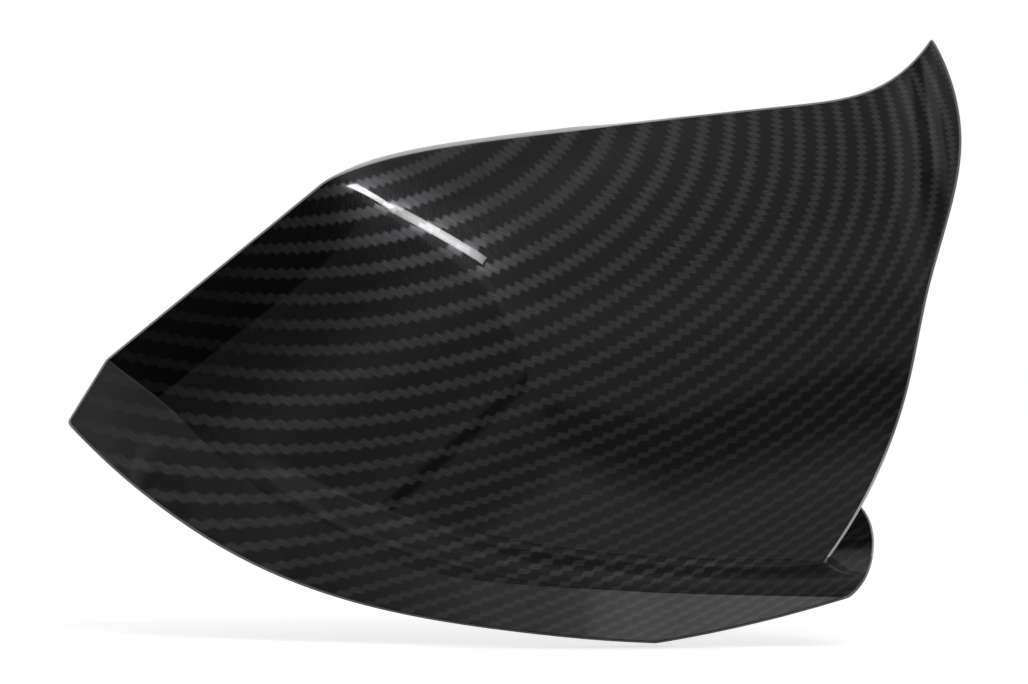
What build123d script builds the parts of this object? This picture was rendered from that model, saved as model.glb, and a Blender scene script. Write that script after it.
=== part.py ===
from build123d import *
import math
import os

# Wing mirror cover, one moulded shell. Millimetres.
# x runs towards the door, y rearwards onto the mirror head, z up.
# The origin lies in the flat plane of the rear rim, under the middle of the front face.
# Every skin is given by its depth: how far it stands in front of the rear rim plane.

WALL = 2.5

# Upper rim: from the outer corner it swells over a shoulder, runs on nearly straight
# and sweeps up into the horn at the door side.
CORNER_X = -47.0
CORNER_Z = 45.2
TOP_SLOPE = 0.105
SHOULDER_LIFT = 5.6
SHOULDER_RUN = 16.0
HORN_START_X = 71.0
HORN_RUN = 42.0
HORN_LIFT = 14.2

# Top face: how steeply it comes forward from the upper rim, at its two ends.
TOP_PITCH_OUTER = 1.52
TOP_PITCH_DOOR = 0.87
TOP_PITCH_START_X = -25.0
TOP_PITCH_RUN = 150.0
TOP_EASING = 171.0

# Front face: rises from the slanted outer rim and levels off towards the door.
OUTER_RIM_X = -104.2
OUTER_RIM_Z = -0.3
OUTER_RIM_ANGLE = 39.3
FRONT_DEPTH = 92.0
FRONT_RUN = 72.0
DOOR_FALL_START_X = 10.0
DOOR_FALL = 0.0008

# Ridge between top and front face: crisp at the outer corner, gone by the middle.
RIDGE_CRISP = 2.5
RIDGE_SOFT = 37.5
RIDGE_FADE_X = -10.0
RIDGE_FADE_RUN = 50.0

# Ledge that grows out of the front face and runs on past the door edge as a fin.
LEDGE_STEP = 10.0
LEDGE_SINK = 1.5
LEDGE_PITCH = 1.8
LEDGE_PITCH_OUTER = 0.54
LEDGE_CURL = 18.0
LEDGE_ROUNDING = 6.0
LEDGE_START_X = -95.0
LEDGE_GROWTH = 110.0
LEDGE_LINE = (
    (-90.0, -18.8),
    (-65.2, -31.4),
    (-41.3, -42.3),
    (-12.0, -50.0),
    (22.0, -55.2),
    (59.5, -57.2),
    (95.0, -56.6),
)

# Crease under the ledge, and the skirt that turns in below it.
CREASE_LINE = (
    (-108.0, -6.2),
    (-92.0, -17.5),
    (-77.2, -31.0),
    (-53.9, -48.5),
    (-38.4, -55.1),
    (-22.8, -58.7),
    (24.2, -63.1),
    (81.0, -65.3),
)
SKIRT_PITCH_OUTER = -0.65
SKIRT_PITCH_DOOR = 1.35
SKIRT_TURN_X = -108.0
SKIRT_TURN_RUN = 110.0

# Cut edges as seen from the front.
OUTER_TIP = (-121.0, -21.2)
OUTER_TIP_RADIUS = 2.4
OUTER_SIDE = (-100.0, 10.0)
LOWER_EDGE = (
    (-95.2, -41.7),
    (-68.9, -57.4),
    (-37.9, -68.2),
    (3.6, -74.9),
)
LOWER_POINT = (36.7, -77.5)
LOWER_BOW = (62.5, -72.0)
FIN_FOOT = (85.9, -65.2)
FIN_SIDE = ((91.9, -57.8), (93.4, -52.0), (92.4, -46.0))
FIN_TOP = (88.0, -41.0)
HORN_TIP = (113.0, 81.2)
DOOR_EDGE = (
    (116.9, 69.0),
    (118.3, 52.5),
    (114.8, 34.3),
    (108.5, 13.1),
    (102.6, -12.0),
    (96.8, -28.6),
)
DOOR_EDGE_FOOT = (80.6, -56.3)
FIN_PLATE_START_X = 62.0

# Moulded details on the inside: stiffening ribs, snap hooks along the rim, locating pins.
RIB_THICKNESS = 1.5
RIB_HEIGHT = 6.0
RIB_X = (-62.0, -18.0, 26.0, 70.0)
RIB_LEDGE_GAP = 4.0
LONG_RIB_Z = 8.0
LONG_RIB_FROM_X = -84.0
LONG_RIB_TO_X = 104.0
RIM_CLEARANCE = 2.0
HOOK_WIDTH = 10.0
HOOK_THICKNESS = 2.0
HOOK_REACH = 5.0
HOOK_CATCH = 1.6
HOOK_SETBACK = 7.0
HOOK_TOP_X = (-32.0, 4.0, 48.0, 92.0)
HOOK_OUTER_X = (-88.0, -62.0)
PIN_RADIUS = 3.0
PIN_REACH = 6.0
PIN_TIP_CHAMFER = 1.0
PIN_STEM_RADIUS = 4.5
PIN_GUSSET_WIDTH = 16.0
PIN_GUSSET_THICKNESS = 1.4
PIN_SPOTS = ((-72.0, 0.0), (84.0, 46.0))

# Working forms run this far past the cut edges, and this far behind and in front.
MARGIN = 6.0
BEHIND = 60.0
REACH = FRONT_DEPTH + LEDGE_STEP + 2.0 * MARGIN
STEP = 0.05

outer_end = OUTER_TIP[0] - MARGIN
door_end = max(x for x, z in DOOR_EDGE) + MARGIN
fin_end = max(x for x, z in FIN_SIDE) + MARGIN
lower_end = LOWER_POINT[1] - MARGIN
upper_end = HORN_TIP[1] + 3.0 * MARGIN


def ease(share):
    """Goes smoothly from 0 to 1 while the share does."""
    share = min(max(share, 0.0), 1.0)
    return share * share * (3.0 - 2.0 * share)


def soft_min(first, second, blend):
    """The smaller value, rounded over where the two are closer than the blend."""
    overlap = max(blend - abs(first - second), 0.0) / blend
    return min(first, second) - overlap * overlap * blend / 4.0


def fair_line(points):
    """A smooth line z(x) through the points, straight beyond its ends."""
    runs = [b[0] - a[0] for a, b in zip(points, points[1:])]
    grades = [(b[1] - a[1]) / run for a, b, run in zip(points, points[1:], runs)]
    inner = [
        (grades[i] * runs[i + 1] + grades[i + 1] * runs[i]) / (runs[i] + runs[i + 1])
        for i in range(len(runs) - 1)
    ]
    slopes = [grades[0], *inner, grades[-1]]

    def height(x):
        if x <= points[0][0]:
            return points[0][1] + slopes[0] * (x - points[0][0])
        if x >= points[-1][0]:
            return points[-1][1] + slopes[-1] * (x - points[-1][0])
        i = max(j for j in range(len(runs)) if points[j][0] <= x)
        t = (x - points[i][0]) / runs[i]
        rise = points[i + 1][1] - points[i][1]
        bend_in = slopes[i] * runs[i] - rise
        bend_out = rise - slopes[i + 1] * runs[i]
        bow = t * (1.0 - t) * ((1.0 - t) * bend_in + t * bend_out)
        return points[i][1] + t * rise + bow

    return height


ledge_z = fair_line(LEDGE_LINE)
crease_z = fair_line(CREASE_LINE)


def top_rim_z(x):
    """Height of the upper rim."""
    run = x - CORNER_X
    if run > 0.0:
        shoulder = SHOULDER_LIFT * (1.0 - math.exp(-run / SHOULDER_RUN))
    else:
        shoulder = SHOULDER_LIFT * run / SHOULDER_RUN
    horn = max(x - HORN_START_X, 0.0) / HORN_RUN
    return CORNER_Z + TOP_SLOPE * run + shoulder + HORN_LIFT * horn**4


def top_depth(x, z):
    """Depth of the top face."""
    drop = top_rim_z(x) - z
    change = ease((x - TOP_PITCH_START_X) / TOP_PITCH_RUN)
    pitch = TOP_PITCH_OUTER + (TOP_PITCH_DOOR - TOP_PITCH_OUTER) * change
    if drop > 0.0:
        return pitch * drop / (1.0 + drop / TOP_EASING)
    return pitch * drop


def front_depth(x, z):
    """Depth of the front face."""
    angle = math.radians(OUTER_RIM_ANGLE)
    inward = math.sin(angle) * (x - OUTER_RIM_X) - math.cos(angle) * (z - OUTER_RIM_Z)
    fall = DOOR_FALL * max(x - DOOR_FALL_START_X, 0.0) ** 2
    if inward > 0.0:
        return FRONT_DEPTH * (1.0 - math.exp(-inward / FRONT_RUN)) - fall
    return FRONT_DEPTH * inward / FRONT_RUN - fall


def upper_depth(x, z):
    """Depth of the top and front faces with the ridge between them."""
    fade = ease((x - RIDGE_FADE_X) / RIDGE_FADE_RUN)
    blend = RIDGE_CRISP + (RIDGE_SOFT - RIDGE_CRISP) * fade
    return soft_min(top_depth(x, z), front_depth(x, z), blend)


def ledge_depth(x, z):
    """Depth of the ledge: behind the front face above its line, proud of it below."""
    growth = ease((x - LEDGE_START_X) / LEDGE_GROWTH)
    step = (LEDGE_STEP + LEDGE_SINK) * growth - LEDGE_SINK
    drop = ledge_z(x) - z
    if drop < 0.0:
        drop = drop / (1.0 - drop / LEDGE_CURL)
    pitch = LEDGE_PITCH_OUTER + (LEDGE_PITCH - LEDGE_PITCH_OUTER) * growth
    return upper_depth(x, z) + soft_min(pitch * drop, step, LEDGE_ROUNDING)


def skirt_depth(x, z):
    """Depth of the skirt, a ruled skin that hangs from the crease."""
    edge_z = crease_z(x)
    edge_depth = max(upper_depth(x, edge_z), ledge_depth(x, edge_z))
    turn = ease((x - SKIRT_TURN_X) / SKIRT_TURN_RUN)
    pitch = SKIRT_PITCH_OUTER + (SKIRT_PITCH_DOOR - SKIRT_PITCH_OUTER) * turn
    return edge_depth + pitch * (z - edge_z)


def inset(depth):
    """The depth of the inner side of a skin, one wall inside it."""

    def inner(x, z):
        along_x = (depth(x + STEP, z) - depth(x - STEP, z)) / (2.0 * STEP)
        along_z = (depth(x, z + STEP) - depth(x, z - STEP)) / (2.0 * STEP)
        return depth(x, z) - WALL * math.hypot(1.0, along_x, along_z)

    return inner


def kept_near(depth, level):
    """The same skin, but levelled off soon after it has passed behind the rim plane."""
    return lambda x, z: -soft_min(-depth(x, z), level, 8.0)


def spread(first, last, count):
    """Evenly spread values."""
    return [first + (last - first) * i / (count - 1) for i in range(count)]


def lofted_form(depth, stations, heights, back):
    """The solid between a skin and the plane y = back, lofted through upright sections."""
    with BuildPart() as form:
        for x in stations:
            front = [(-depth(x, z), z) for z in heights(x)]
            with BuildSketch(Plane.YZ.offset(x)):
                with BuildLine():
                    add(Edge.make_spline(front, parameters=spread(0.0, 1.0, len(front))))
                    Polyline(front[-1], (back, front[-1][1]), (back, front[0][1]), front[0])
                make_face()
        loft()
    return form.part


def upper_heights(x):
    """Heights at which a section of the upper skin is taken."""
    return spread(lower_end, upper_end, 26)


def ledge_heights(x):
    """Heights of a ledge section, close together where it steps out."""
    below = (-28.0, -20.0, -14.0, -10.0, -7.5, -6.0, -4.8, -3.6, -2.4, -1.2)
    above = (0.0, 1.5, 4.0, 8.0, 14.0, 20.0)
    return [ledge_z(x) + step for step in below + above]


def skirt_heights(x):
    """Heights of a skirt section, from just above the crease to below the lower edge."""
    return [crease_z(x) + step for step in (5.0, 0.0, -8.0, -18.0, -30.0, -42.0)]


ridge_start = CORNER_X - 3.0 * MARGIN
ridge_end = RIDGE_FADE_X + MARGIN
upper_stations = spread(outer_end, ridge_start - MARGIN, 9)
upper_stations += spread(ridge_start, ridge_end, 19)
upper_stations += spread(ridge_end + MARGIN, door_end, 18)
ledge_stations = spread(LEDGE_START_X - MARGIN, fin_end, 40)
skirt_stations = spread(outer_end, fin_end, 32)

upper_skin = kept_near(upper_depth, 14.0)
upper_inner_skin = kept_near(inset(upper_depth), 22.0)
upper_form = lofted_form(upper_skin, upper_stations, upper_heights, BEHIND)
upper_hollow = lofted_form(upper_inner_skin, upper_stations, upper_heights, BEHIND + 2.0)
ledge_form = lofted_form(ledge_depth, ledge_stations, ledge_heights, BEHIND + 1.0)
ledge_hollow = lofted_form(inset(ledge_depth), ledge_stations, ledge_heights, BEHIND + 3.0)
skirt_front = lofted_form(skirt_depth, skirt_stations, skirt_heights, -REACH)
skirt_hollow_front = lofted_form(inset(skirt_depth), skirt_stations, skirt_heights, -REACH)

# The ledge runs on past the door edge and ends there in the fin's rounded outline.
with BuildPart() as blade:
    add(ledge_form)
    with BuildSketch(Plane.XZ):
        with BuildLine():
            Spline(FIN_FOOT, *FIN_SIDE, FIN_TOP)
            Polyline(
                FIN_TOP,
                (FIN_PLATE_START_X, FIN_TOP[1]),
                (outer_end, CORNER_Z),
                (outer_end, lower_end - MARGIN),
                (FIN_FOOT[0], lower_end - MARGIN),
                FIN_FOOT,
            )
        make_face()
    extrude(amount=REACH, both=True, mode=Mode.INTERSECT)

# Beyond the door edge the upper skin ends, so that only the blade is left there.
with BuildPart() as door_gap:
    with BuildSketch(Plane.XZ):
        with BuildLine():
            Spline(HORN_TIP, *DOOR_EDGE, DOOR_EDGE_FOOT)
            Polyline(
                DOOR_EDGE_FOOT,
                (FIN_FOOT[0], lower_end - MARGIN),
                (door_end + MARGIN, lower_end - MARGIN),
                (door_end + MARGIN, upper_end + MARGIN),
                (HORN_TIP[0] - MARGIN, upper_end + MARGIN),
                HORN_TIP,
            )
        make_face()
    extrude(amount=REACH, both=True)
    add(blade.part, mode=Mode.SUBTRACT)

# The fin has a plate of its own, which the hollow behind the front face leaves standing.
with BuildPart() as fin_plate:
    add(blade.part)
    split(bisect_by=Plane.YZ.offset(FIN_PLATE_START_X), keep=Keep.TOP)

with BuildPart() as hollow:
    add(upper_hollow)
    add(fin_plate.part, mode=Mode.SUBTRACT)
    add(ledge_hollow)
    add(skirt_hollow_front, mode=Mode.SUBTRACT)

rib_seat = upper_hollow.moved(Location((0.0, -WALL / 2.0, 0.0)))

with BuildPart() as ribs:
    with BuildSketch(Plane.XZ.offset(RIM_CLEARANCE)):
        for x in RIB_X:
            foot_z = ledge_z(x) + RIB_LEDGE_GAP
            with Locations((x, foot_z)):
                Rectangle(RIB_THICKNESS, upper_end - foot_z, align=(Align.CENTER, Align.MIN))
        with Locations((LONG_RIB_FROM_X, LONG_RIB_Z)):
            long_rib = LONG_RIB_TO_X - LONG_RIB_FROM_X
            Rectangle(long_rib, RIB_THICKNESS, align=(Align.MIN, Align.CENTER))
    extrude(amount=REACH)
    add(rib_seat, mode=Mode.INTERSECT)
    add(upper_hollow.moved(Location((0.0, RIB_HEIGHT, 0.0))), mode=Mode.SUBTRACT)

with BuildPart() as pins:
    with BuildSketch(Plane.XZ.offset(RIM_CLEARANCE)):
        with Locations(*PIN_SPOTS):
            Circle(PIN_STEM_RADIUS)
            Rectangle(PIN_GUSSET_WIDTH, PIN_GUSSET_THICKNESS)
            Rectangle(PIN_GUSSET_THICKNESS, PIN_GUSSET_WIDTH)
    extrude(amount=REACH)
    add(rib_seat, mode=Mode.INTERSECT)
    with BuildSketch(Plane.XZ.offset(RIM_CLEARANCE)):
        with Locations(*PIN_SPOTS):
            Circle(PIN_RADIUS)
    extrude(amount=-(RIM_CLEARANCE + PIN_REACH))
    chamfer(pins.edges().filter_by(GeomType.CIRCLE).group_by(Axis.Y)[-1], PIN_TIP_CHAMFER)


def outer_rim_z(x):
    """Height of the slanted outer rim."""
    return OUTER_RIM_Z + math.tan(math.radians(OUTER_RIM_ANGLE)) * (x - OUTER_RIM_X)


def hook_plane(rim_z, x):
    """Plane across a hook: local x points out over the rim, local y rearwards."""
    slope = (rim_z(x + STEP) - rim_z(x - STEP)) / (2.0 * STEP)
    along = Vector(1.0, 0.0, slope).normalized()
    out = Vector(-along.Z, 0.0, along.X)
    return Plane(Vector(x, 0.0, rim_z(x)) - out * HOOK_SETBACK, x_dir=out, z_dir=-along)


hook_planes = [hook_plane(top_rim_z, x) for x in HOOK_TOP_X]
hook_planes += [hook_plane(outer_rim_z, x) for x in HOOK_OUTER_X]

with BuildPart() as hooks:
    for plane in hook_planes:
        with BuildSketch(plane):
            with BuildLine():
                Polyline(
                    (-HOOK_THICKNESS, -BEHIND),
                    (0.0, -BEHIND),
                    (0.0, HOOK_REACH - 2.0 * HOOK_CATCH),
                    (HOOK_CATCH, HOOK_REACH - 1.6 * HOOK_CATCH),
                    (0.0, HOOK_REACH),
                    (-HOOK_THICKNESS, HOOK_REACH),
                    close=True,
                )
            make_face()
        extrude(amount=HOOK_WIDTH / 2.0, both=True)
    add(rib_seat, mode=Mode.INTERSECT)

with BuildPart() as mirror_cover:
    add(upper_form)
    add(blade.part)
    add(skirt_front, mode=Mode.SUBTRACT)
    add(door_gap.part, mode=Mode.SUBTRACT)
    split(bisect_by=Plane.XZ, keep=Keep.TOP)
    with BuildSketch(Plane.XZ) as front_outline:
        with BuildLine():
            Spline(OUTER_TIP, *LOWER_EDGE, LOWER_POINT)
            ThreePointArc(LOWER_POINT, LOWER_BOW, FIN_FOOT)
            Polyline(
                FIN_FOOT,
                (door_end, FIN_FOOT[1]),
                (door_end, upper_end),
                (ridge_start, upper_end),
                OUTER_SIDE,
                OUTER_TIP,
            )
        make_face()
        fillet(front_outline.vertices().sort_by(Axis.X)[0], OUTER_TIP_RADIUS)
    extrude(amount=REACH, both=True, mode=Mode.INTERSECT)
    add(hollow.part, mode=Mode.SUBTRACT)
    add(ribs.part)
    add(pins.part)
    add(hooks.part)

mirror_cover.part.label = "mirror_cover"
os.makedirs("parts", exist_ok=True)
export_step(mirror_cover.part, "parts/mirror_cover.step")
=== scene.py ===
"""Looks of a wing mirror cover: a moulded shell with a twill skin under clear coat.

Sizes are in millimetres until a mesh is lifted into place, and in metres from then on.
x runs towards the door, y rearwards onto the mirror head, z up.
"""

from __future__ import annotations

import logging
import math
from dataclasses import dataclass, field, fields, replace
from enum import Enum
from functools import partial
from typing import Any, Callable, Sequence, Union

import bmesh
import bpy
import numpy as np
from bpy.types import ID, Material, Mesh, Node, NodeSocket, NodeTree, Object
from mathutils import Matrix, Vector

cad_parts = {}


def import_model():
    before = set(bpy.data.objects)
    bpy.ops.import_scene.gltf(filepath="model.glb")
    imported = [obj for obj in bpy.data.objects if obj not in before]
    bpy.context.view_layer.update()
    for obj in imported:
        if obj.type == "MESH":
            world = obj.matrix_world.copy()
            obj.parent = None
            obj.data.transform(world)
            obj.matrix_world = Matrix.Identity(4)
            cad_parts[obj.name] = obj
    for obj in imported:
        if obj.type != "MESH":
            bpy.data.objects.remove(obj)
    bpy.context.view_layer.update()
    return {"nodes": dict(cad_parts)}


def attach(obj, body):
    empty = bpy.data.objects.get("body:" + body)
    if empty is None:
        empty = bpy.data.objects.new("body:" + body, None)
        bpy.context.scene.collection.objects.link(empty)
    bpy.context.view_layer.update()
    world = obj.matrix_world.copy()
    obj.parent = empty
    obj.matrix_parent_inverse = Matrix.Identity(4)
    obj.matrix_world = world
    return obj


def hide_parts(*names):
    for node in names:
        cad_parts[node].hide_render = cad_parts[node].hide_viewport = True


log = logging.getLogger("mirror_cover")

MM = 0.001
BODY = "root"
NODE = "mirror_cover"
OUTER_RIM_SLANT = math.radians(39.3)
TENTHS = 10.0  # the twill's formulas count in tenths of a metre
GRAZING = 0.001  # least cosine at which a direction still meets a card
TIE = 1e-9  # distances nearer than this, in millimetres, count as equal

Point = tuple[float, float]
Spot = tuple[float, float, float]
Colour = tuple[float, float, float]
Limit = Callable[[np.ndarray], tuple[np.ndarray, np.ndarray]]


class Value:
    """A node socket that takes part in an expression; each operator adds a Math node."""

    def __init__(self, canvas: Canvas, socket: NodeSocket) -> None:
        """Keeps the socket and the canvas that it lies on."""
        self.canvas = canvas
        self.socket = socket

    def __add__(self, other: Number) -> Value:
        """Sum."""
        return self.canvas.math("ADD", self, other)

    def __sub__(self, other: Number) -> Value:
        """Difference."""
        return self.canvas.math("SUBTRACT", self, other)

    def __rsub__(self, other: Number) -> Value:
        """Difference, from the right."""
        return self.canvas.math("SUBTRACT", other, self)

    def __mul__(self, other: Number) -> Value:
        """Product."""
        return self.canvas.math("MULTIPLY", self, other)

    def __truediv__(self, other: Number) -> Value:
        """Quotient."""
        return self.canvas.math("DIVIDE", self, other)

    def __rtruediv__(self, other: Number) -> Value:
        """Quotient, from the right."""
        return self.canvas.math("DIVIDE", other, self)

    def __neg__(self) -> Value:
        """The value with its sign turned."""
        return self.canvas.math("MULTIPLY", self, -1.0)

    __radd__ = __add__
    __rmul__ = __mul__


Number = Union[float, np.ndarray, Value]


class Canvas:
    """Adds nodes and links to one node tree, which it empties first."""

    def __init__(self, tree: NodeTree) -> None:
        """Keeps the tree."""
        self.tree = tree
        tree.nodes.clear()

    def feed(self, socket: NodeSocket, value: Any) -> None:
        """Links a value to a socket, or writes a plain number, vector or colour on it.

        Args:
            socket: The input that takes the value.
            value: A Value, a node, whose first output counts, a socket or a plain value.
        """
        if isinstance(value, Value):
            value = value.socket
        elif isinstance(value, Node):
            value = value.outputs[0]
        if isinstance(value, NodeSocket):
            self.tree.links.new(value, socket)
        else:
            socket.default_value = value

    def node(self, kind: str, sockets: dict[Any, Any] | None = None, **settings: Any) -> Node:
        """Adds a node.

        Args:
            kind: The node's type.
            sockets: Values or links of its inputs, by name or number.
            settings: Its properties, which are set first.

        Returns:
            The node.
        """
        node = self.tree.nodes.new(kind)
        for name, setting in settings.items():
            setattr(node, name, setting)
        for key, value in (sockets or {}).items():
            self.feed(node.inputs[key], value)
        return node

    def math(self, operation: str, *terms: Number) -> Value:
        """The result of one Math node, whose operation and values are given."""
        return self.out(self.node("ShaderNodeMath", dict(enumerate(terms)), operation=operation))

    def out(self, node: Node, key: Any = 0) -> Value:
        """An output of a node as a value."""
        return Value(self, node.outputs[key])

    def place(self) -> NodeSocket:
        """The place on the object, in metres."""
        return self.node("ShaderNodeTexCoord").outputs["Object"]

    def split(self, vector: Any) -> list[Value]:
        """The three parts of a vector."""
        node = self.node("ShaderNodeSeparateXYZ", {0: vector})
        return [self.out(node, axis) for axis in "XYZ"]

    def noise(self, place: Any, scale: float, detail: float, dimensions: str = "3D") -> Value:
        """Smooth noise about 0.5, with so many swells in a unit and so many finer layers."""
        sockets = {"Vector": place, "Scale": scale, "Detail": detail}
        return self.out(self.node("ShaderNodeTexNoise", sockets, noise_dimensions=dimensions))

    def blend(self, share: Value, first: Colour, second: Colour) -> NodeSocket:
        """A colour between two; a Mix node's colours are its inputs 6 and 7 and its output 2."""
        sockets = {"Factor": share, 6: (*first, 1.0), 7: (*second, 1.0)}
        return self.node("ShaderNodeMix", sockets, data_type="RGBA").outputs[2]

    def surface(self, sockets: dict[str, Any]) -> Node:
        """A Principled surface."""
        return self.node("ShaderNodeBsdfPrincipled", sockets)

    def close(self, shader: Node) -> None:
        """Ends a material in a shader."""
        self.node("ShaderNodeOutputMaterial", {"Surface": shader})


def started_material(name: str) -> tuple[Material, Canvas]:
    """An empty material.

    Args:
        name: Its name.

    Returns:
        The material, and the canvas that its nodes go on.
    """
    material = bpy.data.materials.new(name)
    material.use_nodes = True
    return material, Canvas(material.node_tree)


def placed(name: str, data: ID) -> Object:
    """Puts an object into the scene, at the origin.

    Args:
        name: Its name.
        data: Its mesh, lamp or camera.

    Returns:
        The object.
    """
    piece = bpy.data.objects.new(name, data)
    bpy.context.scene.collection.objects.link(piece)
    return piece


def applied(operation: str, plain: Callable[..., Any], *terms: Number) -> Number:
    """Works out a function on numbers, or adds its Math node where a term is a Value.

    Args:
        operation: The Math node's operation.
        plain: The same function for numbers and arrays.
        terms: What it works on.

    Returns:
        The result, of the same sort as the terms.
    """
    for term in terms:
        if isinstance(term, Value):
            return term.canvas.math(operation, *terms)
    return plain(*terms)


def least(first: Number, second: Number) -> Number:
    """The smaller of two numbers."""
    return applied("MINIMUM", np.minimum, first, second)


def most(first: Number, second: Number) -> Number:
    """The larger of two numbers."""
    return applied("MAXIMUM", np.maximum, first, second)


def grown(power: Number) -> Number:
    """The exponential."""
    return applied("EXPONENT", np.exp, power)


def ease(share: Number) -> Number:
    """Goes smoothly from 0 to 1 while the share does."""
    held = least(most(share, 0.0), 1.0)
    return held * held * (3.0 - 2.0 * held)


def between(first: Number, second: Number, share: Number) -> Number:
    """Goes from the first number to the second while the share goes from 0 to 1."""
    return first + (second - first) * share


def soft_min(first: Number, second: Number, blend: Number) -> Number:
    """The smaller number, rounded over where the two are closer than the blend.

    Args:
        first: One number.
        second: The other.
        blend: How far apart they are where the rounding starts.

    Returns:
        The rounded minimum.
    """
    gap = most(first - second, second - first)
    overlap = most(blend - gap, 0.0) / blend
    return least(first, second) - overlap * overlap * blend / 4.0


def soft_max(first: Number, second: Number, blend: Number) -> Number:
    """The larger number, rounded in the same way."""
    return -soft_min(-first, -second, blend)


@dataclass(frozen=True)
class FairLine:
    """A smooth line z(x) through a few points, straight beyond its ends.

    Attributes:
        points: The points, from the outer end to the door.
    """

    points: tuple[Point, ...]

    def height(self, x: np.ndarray) -> np.ndarray:
        """Heights of the line.

        Args:
            x: Where.

        Returns:
            One height for each place.
        """
        knots = np.array(self.points)
        runs = np.diff(knots[:, 0])
        rises = np.diff(knots[:, 1])
        grades = rises / runs
        inner = (grades[:-1] * runs[1:] + grades[1:] * runs[:-1]) / (runs[:-1] + runs[1:])
        slopes = np.concatenate([grades[:1], inner, grades[-1:]])
        i = np.clip(np.searchsorted(knots[:, 0], x, side="right") - 1, 0, len(runs) - 1)
        t = np.clip((x - knots[i, 0]) / runs[i], 0.0, 1.0)
        bend_in = slopes[i] * runs[i] - rises[i]
        bend_out = rises[i] - slopes[i + 1] * runs[i]
        bow = t * (1.0 - t) * ((1.0 - t) * bend_in + t * bend_out)
        before = slopes[0] * np.minimum(x - knots[0, 0], 0.0)
        after = slopes[-1] * np.maximum(x - knots[-1, 0], 0.0)
        return knots[i, 1] + t * rises[i] + bow + (before + after)


@dataclass(frozen=True)
class FairCurve:
    """A smooth curve in the front view, drawn through a few points.

    Attributes:
        points: The points in order, as x and z.
    """

    points: tuple[Point, ...]

    def traced(self, count: int) -> np.ndarray:
        """Points close together along the curve.

        Args:
            count: How many points each stretch gets.

        Returns:
            The points, as rows of x and z.
        """
        knots = np.array(self.points)
        runs = np.hypot(*np.diff(knots, axis=0).T)
        slopes = self.knot_slopes(knots, runs)
        rows = []
        for i, run in enumerate(runs):
            t = np.linspace(0.0, 1.0, count, endpoint=False)[:, None]
            rise = knots[i + 1] - knots[i]
            bend_in = slopes[i] * run - rise
            bend_out = rise - slopes[i + 1] * run
            bow = t * (1.0 - t) * ((1.0 - t) * bend_in + t * bend_out)
            rows.append(knots[i] + t * rise + bow)
        return np.concatenate([*rows, knots[-1:]])

    def knot_slopes(self, knots: np.ndarray, runs: np.ndarray) -> np.ndarray:
        """Directions at the points that keep the curve's bend even.

        Args:
            knots: The points.
            runs: Their distances from one to the next.

        Returns:
            One direction for each point.
        """
        grades = np.diff(knots, axis=0) / runs[:, None]
        count = len(knots)
        system = np.zeros((count, count))
        sides = np.zeros((count, 2))
        for i in range(1, count - 1):
            system[i, i - 1 : i + 2] = runs[i], 2.0 * (runs[i - 1] + runs[i]), runs[i - 1]
            sides[i] = 3.0 * (runs[i] * grades[i - 1] + runs[i - 1] * grades[i])
        system[0, 0] = system[-1, -1] = 1.0
        turn_in = (grades[1] - grades[0]) / (runs[0] + runs[1])
        turn_out = (grades[-1] - grades[-2]) / (runs[-1] + runs[-2])
        sides[0] = grades[0] - turn_in * runs[0]
        sides[-1] = grades[-1] + turn_out * runs[-1]
        return np.linalg.solve(system, sides)


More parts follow.
